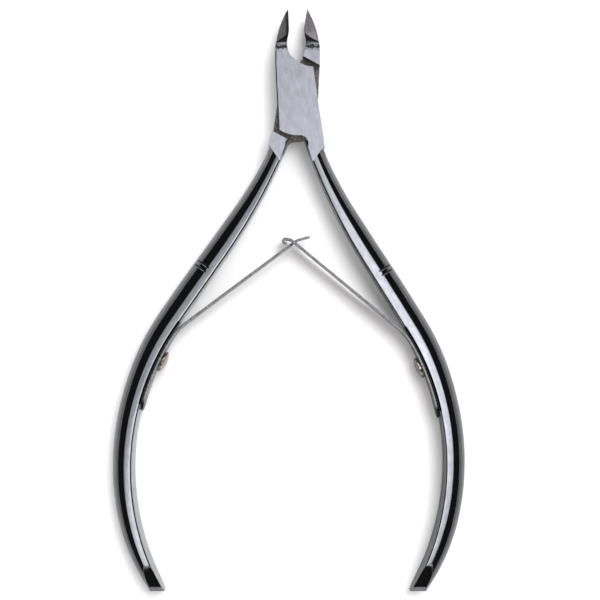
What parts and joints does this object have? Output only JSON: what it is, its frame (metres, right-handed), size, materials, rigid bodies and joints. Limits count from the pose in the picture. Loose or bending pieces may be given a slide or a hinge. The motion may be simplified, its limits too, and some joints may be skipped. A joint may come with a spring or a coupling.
{
  "type": "cuticle nipper",
  "caption": "Polished steel cuticle nipper: lap-jointed levers with fine cutting jaws and long curved handles, held open by crossed leaf springs.",
  "frame": {"origin": "bottom centre of the bounding box, as the open nipper lies on its back face", "axes": "+Y towards the cutting tips along the length, +X across the handles to the right as seen from the front, +Z out of the front face and along the pivot"},
  "size_m": [0.0581, 0.096, 0.0064],
  "materials": {
    "polished_lever": "mirror-polished grips, fine satin joint faces, ground and lightly textured jaws, darker in the recesses",
    "pivot_screw": "satin, finely turned head",
    "leaf_spring": "bright spring steel with fine cross lines",
    "spring_screw": "polished, warm nickel tone"
  },
  "bodies": {
    "rear_half": {"rear_lever": "polished_lever", "left_spring_screw": "spring_screw"},
    "front_half": {"front_lever": "polished_lever", "pivot_screw": "pivot_screw", "right_spring_screw": "spring_screw"},
    "right_leaf": {"right_spring": "leaf_spring"},
    "left_leaf": {"left_spring": "leaf_spring"}
  },
  "joints": [
    {"name": "lever_pivot", "type": "hinge", "parent": "rear_half", "child": "front_half", "pos_m": [0.00145, 0.03211, 0.0032], "axis": [0, 0, -1], "range_deg": [0, 11.1], "stiffness_Nm_per_rad": 0.8, "springref_deg": -2.86},
    {"name": "right_leaf_flex", "type": "hinge", "parent": "front_half", "child": "right_leaf", "pos_m": [0.0177, -0.00445, 0.0032], "axis": [0, 0, -1], "range_deg": [0, 8.1], "deforming": ["right_spring"]},
    {"name": "left_leaf_flex", "type": "hinge", "parent": "rear_half", "child": "left_leaf", "pos_m": [-0.01656, -0.00361, 0.0032], "axis": [0, 0, 1], "range_deg": [0, 8.1], "deforming": ["left_spring"]}
  ],
  "couplings": [
    {"joint": "right_leaf_flex", "follows": "lever_pivot", "ratio": 0.72},
    {"joint": "left_leaf_flex", "follows": "lever_pivot", "ratio": 0.72}
  ]
}
